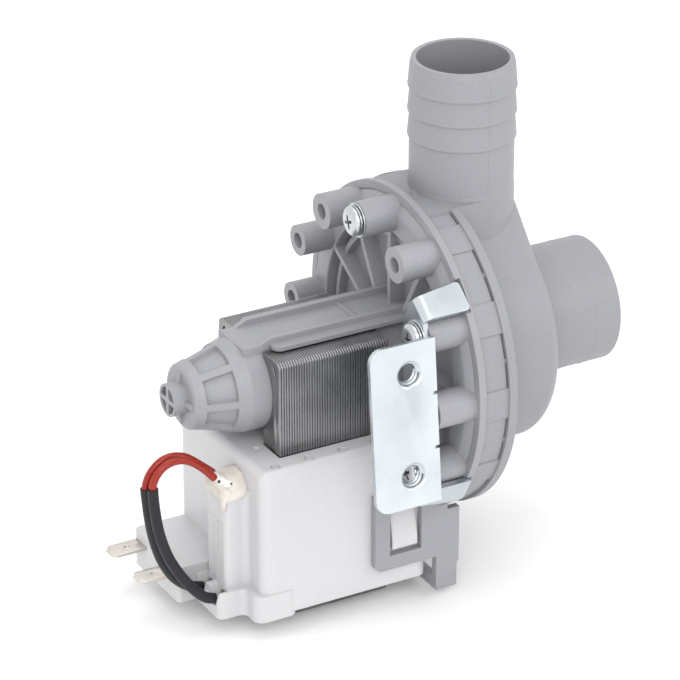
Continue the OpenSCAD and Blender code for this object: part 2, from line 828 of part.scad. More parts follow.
module tab_place(s) {
  translate([-block_x, tab_mid + s * tab_pitch / 2, tab_z]) children();
}

// Half-round trough through which a sleeve enters the plinth, wider at its mouth
module sleeve_trough(y) {
  trough_r = recess_d / 2;
  mouth_r = trough_r + trough_flare;
  rise = -plinth_top - recess_z;
  translate([0, y, recess_z]) {
    rod(recess_d, -tower_x - plinth_out - 1, -tower_x + 1.6);
    along_plate(-tower_x - plinth_out - 1, -tower_x + 0.2)
      polygon([[-trough_r, 0], [trough_r, 0], [mouth_r, rise], [mouth_r, rise + 20], [-mouth_r, rise + 20],
        [-mouth_r, rise]]);
  }
}

// Box with round upright corners and round top edges
module box_form() {
  intersection() {
    upright(-box_bottom, -box_top) rounded([-box_x, -box_r], [-box_front, box_r], box_corner);
    along_plate(-box_x - 1, 1 - box_front)
      rounded([-box_r, -box_bottom - 2 * box_edge], [box_r, -box_top], box_edge);
    across_plate(-box_r - 1, box_r + 1)
      rounded([-box_x, -box_bottom - 2 * box_edge], [-box_front, -box_top], box_edge);
  }
}

// Fillet in the corner between a wall that faces -X and one that faces -Y
module corner_fillet(x, y) {
  translate([x - tower_fillet, y - tower_fillet]) difference() {
    square(tower_fillet + 0.5);
    circle(tower_fillet);
  }
}

module coil_box() {
  color("whitesmoke") placed() difference() {
    union() {
      box_form();
      upright(-plinth_bottom, tower_top) {
        rounded([-tower_x, tower_y0], [-box_x + 4, tower_y1], 2);
        corner_fillet(-box_x, tower_y0);
      }
      upright(-plinth_bottom, -plinth_top) {
        rounded([-tower_x - plinth_out, tower_y0 - 2], [-box_x + 4, term_y0 + 2], 2);
        rounded([-box_x - 2, -plinth_side], [-plinth_front, plinth_side], 3);
        corner_fillet(-box_x - 2, tower_y0 - 2);
      }
      upright(-plinth_bottom, term_top) rounded([-block_x, term_y0], [-box_x + 4, term_y1], 1.5);
      catch();
      mirror([0, 1, 0]) catch();
    }
    block([-stack_x - fit, -core_w / 2 - fit, -core_bottom - 1],
      [-stack_x + stack_len + fit, core_w / 2 + fit, -core_bottom + yoke_h + fit]);
    for (s = [0, 1]) {
      mirror([0, s, 0]) {
        leg_room(fit, -core_bottom, 0);
        leg_room(former_gap + former_wall + winding_t + 0.2, coil_bottom - 0.2, coil_top + 0.2);
        for (i = [0 : 3]) {
          translate([-49.2 + 10.4 * i, 21.8, -box_top - 1]) cylinder(d = 2.8, h = 3);
        }
        translate([-49, 10.2, -box_top - 1]) cylinder(d = 2.8, h = 3);
      }
      tab_place(s == 0 ? -1 : 1)
        block([-1, -tab_w / 2 - slip, -tab_t / 2 - slip],
          [tab_seat + slip, tab_w / 2 + slip, tab_t / 2 + slip]);
    }
    sleeve_trough(recess_outer_y);
    sleeve_trough(recess_inner_y);
    translate([fuse_x, fuse_y, tower_top - fuse_depth]) cylinder(d = 5.2, h = 20);
    block([-tower_x + 2, -14, tower_top], [-box_x + 1.2, -7, tower_top + 3]);
  }
}

module thermal_fuse() {
  color("silver") placed() translate([fuse_x, fuse_y, tower_top - fuse_depth + slip]) {
    cylinder(d = 4.6, h = 9);
    cylinder(d = 1.2, h = 11.4);
  }
}

// Lump of silicone over the fuse's pocket, with the tip from which the leads come out
module fuse_seal() {
  color("beige") placed() difference() {
    union() {
      hull() {
        translate([-box_x - 2.2, -12.4, tower_top + 3.4]) sphere(3, $fn = 24);
        translate([-box_x - 2.4, -7, tower_top + 1.8]) sphere(2.2, $fn = 24);
        translate([-box_x - 2.2, -14.2, tower_top + 1.8]) sphere(1.9, $fn = 24);
        translate([1.2 - tower_x, -12.4, tower_top + 0.8]) sphere(2, $fn = 24);
        translate([1.2 - tower_x, -6.6, tower_top + 0.4]) sphere(1.6, $fn = 24);
      }
      translate(seal_tip) rotate([0, -45, 0]) translate([0, 0, -4.6]) cylinder(d1 = 6.4, d2 = 4.6, h = 4.6);
    }
    block([-tower_x - 10, -box_r, tower_top - 10], [-box_front, box_r, tower_top + slip]);
    block([-box_x - slip, -box_r, tower_top - 1], [-box_front, box_r, tower_top + 20]);
  }
}

// Tab with bevelled corners and a locking dimple
module tab_terminal(s) {
  tab_place(s) difference() {
    upright(-tab_t / 2, tab_t / 2)
      polygon([[tab_seat, -tab_w / 2], [tab_seat, tab_w / 2], [1.4 - tab_len, tab_w / 2],
        [-tab_len, tab_w / 2 - 1.8], [-tab_len, 1.8 - tab_w / 2], [1.4 - tab_len, -tab_w / 2]]);
    translate([5.8 - tab_len, 0, -1]) cylinder(d = 1.6, h = 4);
  }
}

module terminal_near() {
  color("tan") placed() tab_terminal(-1);
}

module terminal_far() {
  color("tan") placed() tab_terminal(1);
}

module lead_outer() {
  color("firebrick") placed() cord(path(lead_outer_points, 2), lead_d);
}

module lead_inner() {
  color("firebrick") placed() cord(path(lead_inner_points, 2), lead_d);
}

module sleeve_outer() {
  color("black") placed() cord(path(sleeve_outer_points, 2), sleeve_d);
}

module sleeve_inner() {
  color("black") placed() cord(path(sleeve_inner_points, 2), sleeve_d);
}

// Flange that is screwed to the bosses, with an ear for each screw
module ear_section() {
  edge = bracket_y - bend_r;
  lean = bend_h / 2 * tan(bracket_lean);
  upper = on_circle(boss_circle_d / 2, screw_angle_upper);
  lower = on_circle(boss_circle_d / 2, screw_angle_lower);
  fold = bend_r * [sin(hook_upper_angle), -cos(hook_upper_angle)];
  difference() {
    polygon([[lean - edge, bend_h / 2], hook_upper + fold, upper + [1.35, 11.55] + fold, upper + [4.6, 8.2],
      upper + [7.25, 2.45], [upper[0] + 6.85, 0], lower + [7.25, -2.45], lower + [4.25, -8.05],
      lower + [1.85, -10.25], lower + [-2.75, -9.65], lower + [-6.35, -3.65], [-lean - edge, -bend_h / 2]]);
    for (a = [screw_angle_upper, screw_angle_lower]) {
      rotate(a) translate([boss_circle_d / 2, 0]) circle(d = screw_d + 1);
    }
  }
}

// Quarter bend of the sheet, its outer faces on both axes, drawn towards +X and +Y
module bend_section() {
  intersection() {
    translate([bend_r, bend_r]) difference() {
      circle(bend_r);
      circle(bend_r - sheet_t);
    }
    square(bend_r);
  }
  translate([0, bend_r - 0.01]) square([sheet_t, 0.5]);
  translate([bend_r - 0.01, 0]) square([0.5, sheet_t]);
}

// Plate with the tapped holes, drawn upright with its outer face at Y = 0
module bracket_plate() {
  difference() {
    union() {
      across_plate(0, sheet_t) {
        rounded([plate_x0, -bracket_h / 2], [plate_x0 + 3 * bracket_corner, bracket_h / 2], bracket_corner);
        translate([plate_x0 + 2 * bracket_corner, -bracket_h / 2])
          square([lug_x1 - plate_x0 - 2 * bracket_corner, bracket_h]);
        translate([plate_x0 + 2 * bracket_corner, -bend_h / 2])
          square([bracket_w - 2 * bracket_corner - bend_r, bend_h]);
      }
      upright(-bend_h / 2, bend_h / 2) translate([plate_x1, 0]) mirror([1, 0]) bend_section();
      for (z = [-tap_pitch / 2, tap_pitch / 2]) {
        translate([tap_x, sheet_t - 0.2, z]) rotate([-90, 0, 0])
          cylinder(d = tap_collar_d, h = tap_collar + 0.2);
      }
    }
    for (z = [-tap_pitch / 2, tap_pitch / 2]) {
      translate([tap_x, -1, z]) rotate([-90, 0, 0]) cylinder(d = tap_d, h = 10);
      translate([tap_x, -0.001, z]) rotate([-90, 0, 0]) cylinder(d1 = tap_flare, d2 = tap_d, h = 1.1);
      // Relief cuts at the ends of the bend
      block([lug_x1 - relief_depth, -1, sign(z) * (bend_h + relief_w) / 2 - relief_w / 2],
        [plate_x1 + 1, sheet_t + 1, sign(z) * (bend_h + relief_w) / 2 + relief_w / 2]);
    }
  }
}

module mounting_bracket() {
  color("lightsteelblue") placed() {
    translate([0, -bracket_y, 0]) rotate([-bracket_lean, 0, 0]) bracket_plate();
    along_plate(flange_x, x_seat) ear_section();
    // Upper hook, bent from the flange
    translate([0, hook_upper[0], hook_upper[1]]) rotate([hook_upper_angle, 0, 0]) {
      upright(-sheet_t, 0) {
        polygon([[flange_x + bend_r, 0], [hook_front - hook_r, 0], [hook_front, hook_r],
          [hook_front, hook_upper_w - hook_r], [hook_front - hook_r, hook_upper_w - 0.2 * hook_r],
          [flange_x + bend_r, hook_upper_w - 1.5]]);
        translate([hook_front - hook_r, hook_r]) circle(hook_r);
        translate([hook_front - hook_r, hook_upper_w - 1.05 * hook_r]) circle(hook_r);
      }
      across_plate(0, hook_upper_w - 1.6) translate([flange_x, 0]) mirror([0, 1]) bend_section();
    }
    // Lower hook
    translate([0, hook_lower[0], hook_lower[1]]) rotate([hook_lower_angle, 0, 0]) upright(-sheet_t, 0)
      polygon([[flange_x, 3], [hook_front - 3, 0.6], [hook_front - 1, 0.6], [hook_front, 1.6],
        [hook_front, hook_lower_w], [flange_x, hook_lower_w]]);
  }
}

// Pan-head screw with a washer face, its head seated at X
module screw(x) {
  rod(screw_d, x - 0.5, x + screw_len - 2);
  along_x(x + screw_len - 2.001) cylinder(d1 = screw_d, d2 = 1, h = 2);
  rod(head_d, x - 0.8, x);
  rod(head_d - 0.7, x - head_h + 0.9, x - 0.7);
  along_x(x - head_h) cylinder(d1 = head_d - 3, d2 = head_d - 0.7, h = 0.9001);
}

module screw_top() {
  color("gainsboro") placed() at_boss(screw_angle_top) screw(x_seat);
}

module screw_side() {
  color("gainsboro") placed() at_boss(screw_angle_side) screw(x_seat);
}

module bracket_screw_upper() {
  color("gainsboro") placed() at_boss(screw_angle_upper) screw(flange_x);
}

module bracket_screw_lower() {
  color("gainsboro") placed() at_boss(screw_angle_lower) screw(flange_x);
}

module rotor_shaft() {
  color("silver") placed() rod(shaft_d, bearing_rear_x + 0.5, shaft_end);
}

module rotor_magnet() {
  color("darkslategray") placed() tube(magnet_d, carrier_d + 0.04, magnet_x, magnet_end);
}

// Moulded sleeve that carries the magnet on the shaft
module rotor_carrier() {
  color("white") placed() {
    tube(carrier_d, shaft_d + 0.04, carrier_x, carrier_end);
    tube(magnet_d - 1, carrier_d - 1, magnet_x - 2, magnet_x);
    tube(magnet_d - 1, carrier_d - 1, magnet_end, magnet_end + 1.2);
  }
}

module thrust_washer_rear() {
  color("silver") placed()
    tube(bearing_d + 1, shaft_d + 0.04,
      bearing_rear_end + washer_gap, bearing_rear_end + washer_gap + washer_t);
}

module thrust_washer_front() {
  color("silver") placed()
    tube(bearing_d + 1, shaft_d + 0.04, holder_rear - washer_gap - washer_t, holder_rear - washer_gap);
}

// Part of a ring, centred on an angle
module sector(d_out, d_in, x0, x1, middle, angle) {
  along_plate(x0, x1) intersection() {
    difference() {
      circle(d = d_out);
      circle(d = d_in);
    }
    rotate(middle) polygon([[0, 0], d_out * [cos(angle / 2), -sin(angle / 2)], [1.5 * d_out, 0],
      d_out * [cos(angle / 2), sin(angle / 2)]]);
  }
}

module drive_dog() {
  color("white") placed() {
    tube(dog_core_d, shaft_d + 0.04, dog_x, dog_x + dog_len);
    sector(dog_d, dog_core_d - 1, dog_x, dog_x + dog_len, 90, dog_angle);
  }
}

// Straight-bladed impeller whose hub is a cup round the driving dog
module impeller() {
  color("slategray") placed() difference() {
    union() {
      rod(hub_d, impeller_x, cup_end + 1.5);
      along_x(cup_end + 1.5) cylinder(d1 = hub_d, d2 = shaft_d + 5, h = impeller_end - cup_end - 3);
      for (i = [0 : blade_count - 1]) {
        rotate([360 * i / blade_count, 0, 0]) across_plate(-blade_t / 2, blade_t / 2)
          polygon([[impeller_x + 2, 0], [impeller_x + 2, impeller_d / 2], [impeller_end - 3, impeller_d / 2],
            [impeller_end, impeller_d / 2 - 4], [impeller_end, shaft_d / 2 + 3], [impeller_end - 1.6, 0]]);
      }
      tube(impeller_d - 8, hub_d - 1, impeller_x, impeller_x + 2.2);
    }
    difference() {
      rod(cup_d, impeller_x - 1, cup_end);
      sector(cup_d + 1, dog_core_d + 2 * fit, dog_x - fit, cup_end + 1, 270, dog_angle);
    }
    rod(shaft_d + 2 * run, impeller_x, impeller_end + 1);
    rod(cap_seat_d, shaft_end - 0.5, impeller_end + 1);
  }
}

module clutch_cover() {
  color("slategray") placed() tube(cup_d - 2 * slip, dog_core_d + 2 * fit, impeller_x, impeller_x + cover_t);
}

// Cap over the end of the shaft, in the impeller's nose
module impeller_cap() {
  color("slategray") placed() {
    rod(cap_seat_d - 2 * slip, shaft_end + fit, impeller_end + 1);
    along_x(impeller_end + slip) cylinder(d1 = cap_d, d2 = shaft_d - 1, h = cap_h);
  }
}

volute_casing();
inlet_spigot();
outlet_spigot();
casing_seal();
rear_cover();
rear_bearing();
front_bearing();
bearing_holder();
stator_core();
coil_box();
coil_former_near();
coil_former_far();
winding_near();
winding_far();
thermal_fuse();
fuse_seal();
terminal_near();
terminal_far();
lead_outer();
lead_inner();
sleeve_outer();
sleeve_inner();
mounting_bracket();
screw_top();
screw_side();
bracket_screw_upper();
bracket_screw_lower();
rotor_shaft();
rotor_magnet();
rotor_carrier();
thrust_washer_rear();
thrust_washer_front();
drive_dog();
impeller();
clutch_cover();
impeller_cap();
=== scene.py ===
# Washer drain pump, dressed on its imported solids.
# +X leaves the inlet along the pump axis, +Z leaves the outlet, metres.
import json
import math
import bpy
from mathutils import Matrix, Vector


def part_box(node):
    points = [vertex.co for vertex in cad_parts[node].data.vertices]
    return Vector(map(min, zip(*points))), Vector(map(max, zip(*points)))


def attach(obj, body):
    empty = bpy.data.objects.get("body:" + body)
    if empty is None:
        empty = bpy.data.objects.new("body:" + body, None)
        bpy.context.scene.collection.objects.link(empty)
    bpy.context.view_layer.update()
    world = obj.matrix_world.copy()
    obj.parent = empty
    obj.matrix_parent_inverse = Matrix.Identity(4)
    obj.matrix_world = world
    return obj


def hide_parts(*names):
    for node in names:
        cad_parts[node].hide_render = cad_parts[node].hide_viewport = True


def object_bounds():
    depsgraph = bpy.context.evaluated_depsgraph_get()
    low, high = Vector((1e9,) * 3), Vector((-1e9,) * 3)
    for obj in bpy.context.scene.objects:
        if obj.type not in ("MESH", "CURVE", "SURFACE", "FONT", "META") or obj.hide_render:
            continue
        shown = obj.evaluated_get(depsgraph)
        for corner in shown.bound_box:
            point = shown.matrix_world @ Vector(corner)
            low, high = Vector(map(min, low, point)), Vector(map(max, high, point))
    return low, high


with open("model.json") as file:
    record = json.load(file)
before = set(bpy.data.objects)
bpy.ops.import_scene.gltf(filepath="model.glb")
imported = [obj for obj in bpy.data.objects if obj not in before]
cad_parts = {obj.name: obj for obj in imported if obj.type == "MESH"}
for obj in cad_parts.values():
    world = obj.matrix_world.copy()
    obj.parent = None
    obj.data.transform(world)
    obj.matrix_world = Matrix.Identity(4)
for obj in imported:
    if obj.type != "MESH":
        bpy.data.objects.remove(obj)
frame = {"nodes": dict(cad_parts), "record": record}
cad_low, cad_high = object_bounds()
nodes = frame["nodes"]

# Sizes are in millimetres and angles in degrees, where nothing else is said
MM = 0.001
# Rear face of the cover's rim, from which distances along the pump are given
RIM_X = -64.2
ALONG = (1, 0, 0)
UP = (0, 0, 1)


def at(x, y, z):
    """A point given in millimetres from the rim, in metres in the row frame."""
    return Vector(((x + RIM_X) * MM, y * MM, z * MM))


# Camera at the photograph's view

CAMERA_AT = at(-455.36, -785.38, 447.08)
CAMERA_TO = at(-16.96, 0, 5.41)
SIGHT = CAMERA_TO - CAMERA_AT
LENS = 191.37
SENSOR_W = 36
# Nearest distance that the camera shows
CLIP_START = 10


def set_camera():
    bpy.ops.object.camera_add(location=CAMERA_AT)
    camera = bpy.context.object
    camera.name = "photo_camera"
    camera.rotation_euler = SIGHT.to_track_quat("-Z", "Y").to_euler()
    camera.data.lens = LENS
    camera.data.sensor_width = SENSOR_W
    camera.data.clip_start = CLIP_START * MM
    bpy.context.scene.camera = camera


set_camera()


# Helpers for the materials

# Values of a noise between which a colour or a number runs
NOISE_LOW = 0.3
NOISE_HIGH = 0.7
# Sockets of a Mix node that mixes colours
MIX_FIRST = 6
MIX_SECOND = 7
MIX_RESULT = 2
EDGE_SAMPLES = 6
# Depth of the fine relief on plastic, metal and rubber
GRAIN_DEPTH = 0.06
RUB_DEPTH = 0.02
SKIN_DEPTH = 0.04


def new_material(name):
    material = bpy.data.materials.new(name)
    material.use_nodes = True
    tree = material.node_tree
    shader = tree.nodes["Principled BSDF"]
    return material, tree, shader


def add(tree, kind, **settings):
    node = tree.nodes.new("ShaderNode" + kind)
    for key, value in settings.items():
        setattr(node, key, value)
    return node


def noise(tree, scale, detail, stretch=None):
    """Noise in object coordinates, each multiplied by its number in stretch."""
    place = add(tree, "TexCoord")
    source = place.outputs["Object"]
    if stretch:
        mapping = add(tree, "Mapping")
        mapping.inputs["Scale"].default_value = stretch
        tree.links.new(source, mapping.inputs["Vector"])
        source = mapping.outputs["Vector"]
    texture = add(tree, "TexNoise")
    texture.inputs["Scale"].default_value = scale
    texture.inputs["Detail"].default_value = detail
    tree.links.new(source, texture.inputs["Vector"])
    return texture.outputs["Fac"]


def ramp(tree, value, dark, light, low=NOISE_LOW, high=NOISE_HIGH):
    """Colour that runs from dark to light between two values of a noise."""
    node = add(tree, "ValToRGB")
    for element, place, colour in zip(node.color_ramp.elements, (low, high), (dark, light)):
        element.position = place
        element.color = (*colour, 1)
    tree.links.new(value, node.inputs["Fac"])
    return node.outputs["Color"]


def spread(tree, value, low, high):
    """Number that runs from low to high between two values of a noise."""
    node = add(tree, "MapRange")
    for key, number in (("From Min", NOISE_LOW), ("From Max", NOISE_HIGH), ("To Min", low), ("To Max", high)):
        node.inputs[key].default_value = number
    tree.links.new(value, node.inputs["Value"])
    return node.outputs["Result"]


def mixed(tree, first, second, share):
    """Two colours mixed, with this share of the second."""
    node = add(tree, "Mix", data_type="RGBA")
    node.inputs["Factor"].default_value = share
    tree.links.new(first, node.inputs[MIX_FIRST])
    tree.links.new(second, node.inputs[MIX_SECOND])
    return node.outputs[MIX_RESULT]


def bumped(tree, shader, height, depth, strength, edge=0):
    """Fine relief. Edges look rounded by the radius edge, where there is one."""
    bump = add(tree, "Bump")
    bump.inputs["Strength"].default_value = strength
    bump.inputs["Distance"].default_value = depth * MM
    tree.links.new(height, bump.inputs["Height"])
    if edge:
        soft = add(tree, "Bevel", samples=EDGE_SAMPLES)
        soft.inputs["Radius"].default_value = edge * MM
        tree.links.new(soft.outputs["Normal"], bump.inputs["Normal"])
    tree.links.new(bump.outputs["Normal"], shader.inputs["Normal"])


def shade(colour, factor):
    return tuple(min(1.0, c * factor) for c in colour)


# Kinds of material

def moulded(name, colour, rough, edge=0.35, speck=0.05):
    """Moulded plastic: fine grain, slight clouding, softened edges."""
    material, tree, shader = new_material(name)
    fine = noise(tree, scale=1500, detail=2)
    cloud = noise(tree, scale=38, detail=4)
    grains = ramp(tree, fine, shade(colour, 1 - speck), shade(colour, 1 + speck), low=0.35, high=0.68)
    clouds = ramp(tree, cloud, shade(colour, 0.94), shade(colour, 1.05))
    tree.links.new(mixed(tree, grains, clouds, share=0.45), shader.inputs["Base Color"])
    tree.links.new(spread(tree, cloud, rough - 0.05, rough + 0.06), shader.inputs["Roughness"])
    bumped(tree, shader, noise(tree, scale=900, detail=3), GRAIN_DEPTH, strength=0.6, edge=edge)
    return material


def plated(name, colour, rough, scale, edge=0.2, stretch=None, contrast=0.12):
    """Plated or bare metal: drifting lustre, fine rubbing marks."""
    material, tree, shader = new_material(name)
    shader.inputs["Metallic"].default_value = 1.0
    cloud = noise(tree, scale, detail=5, stretch=stretch)
    rub = noise(tree, scale=700, detail=3, stretch=(1, 1, 0.08))
    tone = ramp(tree, cloud, shade(colour, 1 - contrast), shade(colour, 1 + contrast), low=0.28, high=0.72)
    tree.links.new(tone, shader.inputs["Base Color"])
    tree.links.new(spread(tree, cloud, rough - 0.08, rough + 0.1), shader.inputs["Roughness"])
    bumped(tree, shader, rub, RUB_DEPTH, strength=0.5, edge=edge)
    return material


def rubbery(name, colour, rough, scale, gloss=0.5, mottle=0.11):
    """Flexible insulation, rubber or silicone."""
    material, tree, shader = new_material(name)
    shader.inputs["Specular IOR Level"].default_value = gloss
    cloud = noise(tree, scale, detail=3)
    tone = ramp(tree, cloud, shade(colour, 1 - mottle), shade(colour, 1 + mottle))
    tree.links.new(tone, shader.inputs["Base Color"])
    tree.links.new(spread(tree, cloud, rough - 0.06, rough + 0.08), shader.inputs["Roughness"])
    bumped(tree, shader, noise(tree, scale=1200, detail=2), SKIN_DEPTH, strength=0.5)
    return material


# Materials of the pump

GREY = (0.265, 0.268, 0.288)
CASING = moulded("casing_grey", GREY, rough=0.46)
MOULD_MARK = moulded("mould_mark_grey", GREY, rough=0.44, edge=0)
COVER = moulded("cover_grey", shade(GREY, 1.08), rough=0.42)
BOX = moulded("box_white", (0.56, 0.555, 0.57), rough=0.4, speck=0.03)
FORMER = moulded("former_ivory", (0.7, 0.67, 0.58), rough=0.5)
ROTOR_PLASTIC = moulded("rotor_white", (0.68, 0.68, 0.65), rough=0.5)
IMPELLER = moulded("impeller_grey", (0.13, 0.14, 0.16), rough=0.5)
CORE = plated("core_sheet_steel", (0.3, 0.3, 0.31), rough=0.32, scale=90, edge=0.02, contrast=0.2)
ZINC = plated("zinc_bracket", (0.6, 0.645, 0.675), rough=0.28, scale=55)
# Dark metal painted in as shade, in the screws' cross recesses and on the walls of the tapped holes
PAINTED_SHADE_METAL = plated("thread_root", (0.2, 0.2, 0.21), rough=0.45, scale=120)
SCREW = plated("zinc_screw", (0.56, 0.58, 0.6), rough=0.26, scale=120)
TAB = plated("tinned_tab", (0.64, 0.605, 0.555), rough=0.34, scale=150)
SHAFT = plated("ground_shaft", (0.6, 0.6, 0.62), rough=0.2, scale=200)
FUSE = plated("fuse_can", (0.65, 0.65, 0.66), rough=0.3, scale=200)
BRONZE = plated("bearing_bronze", (0.4, 0.27, 0.12), rough=0.42, scale=200)
COPPER = plated("winding_copper", (0.45, 0.17, 0.07), rough=0.35, scale=300, stretch=(1, 1, 14))
MAGNET = moulded("magnet_ferrite", (0.02, 0.02, 0.022), rough=0.55)
RUBBER = rubbery("black_rubber", (0.012, 0.012, 0.012), rough=0.6, scale=400)
SILICONE = rubbery("cream_silicone", (0.62, 0.58, 0.53), rough=0.38, scale=260)
PLUG_WHITE = rubbery("white_silicone", (0.74, 0.73, 0.71), rough=0.34, scale=260)
# Dark material set deep in the plug's pits as painted shade
PIT_SHADE = rubbery("dark_pit", (0.05, 0.018, 0.016), rough=0.5, scale=500)
LEAD = rubbery("red_insulation", (0.28, 0.017, 0.006), rough=0.22, scale=700, gloss=0.4, mottle=0.05)
SLEEVE = rubbery("black_sleeve", (0.008, 0.009, 0.012), rough=0.44, scale=600, gloss=0.38)


def coat(obj, *materials):
    """Gives a piece these materials and no others."""
    obj.data.materials.clear()
    for material in materials:
        obj.data.materials.append(material)


def dress(material, *names):
    for name in names:
        coat(nodes[name], material)


dress(CASING, "volute_casing", "inlet_spigot", "outlet_spigot")
dress(COVER, "rear_cover")
dress(BOX, "coil_box")
dress(CORE, "stator_core")
dress(RUBBER, "casing_seal", "bearing_holder")
dress(BRONZE, "rear_bearing", "front_bearing")
dress(FORMER, "coil_former_near", "coil_former_far")
dress(COPPER, "winding_near", "winding_far")
dress(FUSE, "thermal_fuse")
dress(SILICONE, "fuse_seal")
dress(TAB, "terminal_near", "terminal_far")
dress(LEAD, "lead_outer", "lead_inner")
dress(SLEEVE, "sleeve_outer", "sleeve_inner")
dress(ZINC, "mounting_bracket")
dress(SCREW, "screw_top", "screw_side", "bracket_screw_upper", "bracket_screw_lower")
dress(SHAFT, "rotor_shaft", "thrust_washer_rear", "thrust_washer_front")
dress(MAGNET, "rotor_magnet")
dress(ROTOR_PLASTIC, "rotor_carrier", "drive_dog")
dress(IMPELLER, "impeller", "clutch_cover", "impeller_cap")


# Helpers for the pieces

SELECT_MODES = {
    "vertices": (True, False, False),
    "edges": (False, True, False),
    "polygons": (False, False, True),
}
# Points closer than this become one, in a finished piece and in a copy of a solid
MERGE = 0.001
MERGE_COPY = 0.002
# Neighbouring faces of a copy that differ by less than this become one
FLAT_ANGLE = 0.4
TURN_STEPS = 48


def only(obj):
    """Makes one piece the selected and active one."""
    bpy.ops.object.select_all(action="DESELECT")
    obj.select_set(True)
    bpy.context.view_layer.objects.active = obj


def whole(obj):
    """Enters edit mode with everything selected."""
    only(obj)
    bpy.ops.object.mode_set(mode="EDIT")
    bpy.ops.mesh.select_all(action="SELECT")


def choose(obj, kind, test):
    """Enters edit mode with those faces, edges or points selected that pass a test."""
    only(obj)
    mesh = obj.data
    bpy.context.tool_settings.mesh_select_mode = SELECT_MODES[kind]
    for group in (mesh.vertices, mesh.edges, mesh.polygons):
        for item in group:
            item.select = False
    for item in getattr(mesh, kind):
        item.select = test(item)
    bpy.ops.object.mode_set(mode="EDIT")


def leave():
    """Leaves edit mode."""
    bpy.ops.object.mode_set(mode="OBJECT")


def closed(obj):
    """Merges doubles and turns the faces outwards."""
    whole(obj)
    bpy.ops.mesh.remove_doubles(threshold=MERGE * MM)
    bpy.ops.mesh.normals_make_consistent(inside=False)
    leave()


def settled(obj):
    """Takes a piece's place, turn and scale into its mesh."""
    only(obj)
    bpy.ops.object.transform_apply(location=True, rotation=True, scale=True)
    return obj


def smooth(obj, degrees):
    only(obj)
    bpy.ops.object.shade_smooth_by_angle(angle=math.radians(degrees))


def modified(obj, kind, **settings):
    """Adds a modifier and applies it."""
    only(obj)
    modifier = obj.modifiers.new(kind.lower(), kind)
    for key, value in settings.items():
        setattr(modifier, key, value)
    bpy.ops.object.modifier_apply(modifier=modifier.name)


def copied(node, name):
    """A merged copy of a solid, to be worked on as a piece of its own."""
    obj = bpy.data.objects.new(name, nodes[node].data.copy())
    bpy.context.scene.collection.objects.link(obj)
    only(obj)
    bpy.ops.mesh.customdata_custom_splitnormals_clear()
    whole(obj)
    bpy.ops.mesh.remove_doubles(threshold=MERGE_COPY * MM)
    bpy.ops.mesh.dissolve_limited(angle_limit=math.radians(FLAT_ANGLE))
    leave()
    return obj


def joined(name, parts):
    """One piece from several."""
    bpy.ops.object.select_all(action="DESELECT")
    for part in parts:
        part.select_set(True)
    bpy.context.view_layer.objects.active = parts[0]
    bpy.ops.object.join()
    parts[0].name = name
    return parts[0]


def turned(name, centre, profile, steps=TURN_STEPS):
    """A piece turned about a line along X. The profile is (x, radius) in millimetres from the centre."""
    bpy.ops.object.select_all(action="DESELECT")
    bpy.context.tool_settings.mesh_select_mode = SELECT_MODES["vertices"]
    bpy.ops.mesh.primitive_plane_add(size=MM, location=(0, 0, 0))
    obj = bpy.context.object
    obj.name = name
    whole(obj)
    bpy.ops.mesh.merge(type="CENTER")
    spots = [centre + Vector((x, 0, r)) * MM for x, r in profile]
    bpy.ops.transform.translate(value=spots[0])
    for here, there in zip(spots, spots[1:]):
        bpy.ops.mesh.extrude_vertices_move(TRANSFORM_OT_translate={"value": there - here})
    bpy.ops.mesh.select_all(action="SELECT")
    bpy.ops.mesh.spin(steps=steps, angle=math.tau, center=centre, axis=ALONG)
    leave()
    closed(obj)
    return obj


def turned_on(name, place, axis, profile, steps=TURN_STEPS):
    """A piece turned about any line. The profile is (distance along the line, radius) in millimetres."""
    obj = turned(name, Vector((0, 0, 0)), profile, steps)
    obj.rotation_euler = Vector(axis).to_track_quat("X", "Z").to_euler()
    obj.location = place
    return settled(obj)


def cut_block(low, high):
    """Cutter that fills the box between two corners."""
    bpy.ops.object.select_all(action="DESELECT")
    bpy.ops.mesh.primitive_cube_add(size=1, location=(low + high) / 2)
    cutter = bpy.context.object
    cutter.scale = high - low
    return settled(cutter)


def cut(obj, cutter, operation):
    modified(obj, "BOOLEAN", operation=operation, object=cutter, solver="EXACT")
    bpy.data.objects.remove(cutter, do_unlink=True)


def without(obj, cutter):
    """Takes away what lies in the cutter."""
    cut(obj, cutter, "DIFFERENCE")


def within(obj, cutter):
    """Keeps only what lies in the cutter."""
    cut(obj, cutter, "INTERSECT")


def carried(obj, slot, *replaced):
    """Puts a piece on the pump's body and hides the solids that it stands for. The slot is not used."""
    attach(obj, "pump_body")
    if replaced:
        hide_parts(*replaced)


def placed_piece(obj, slot, material, *replaced):
    """Gives a piece its material and puts it on the pump's body."""
    coat(obj, material)
    carried(obj, slot, *replaced)


# Leads and their sleeves, on the route of their solids

LEAD_D = 2.2
SLEEVE_D = 3.1
SLEEVE_WALL = 0.32
# Tip of the seal, and how far to either side of it the two leads come out
SEAL_TIP = Vector((-63, -11.8, -19.5))
LEAD_START = LEAD_D * Vector((0.14, 0.48, 0.14))
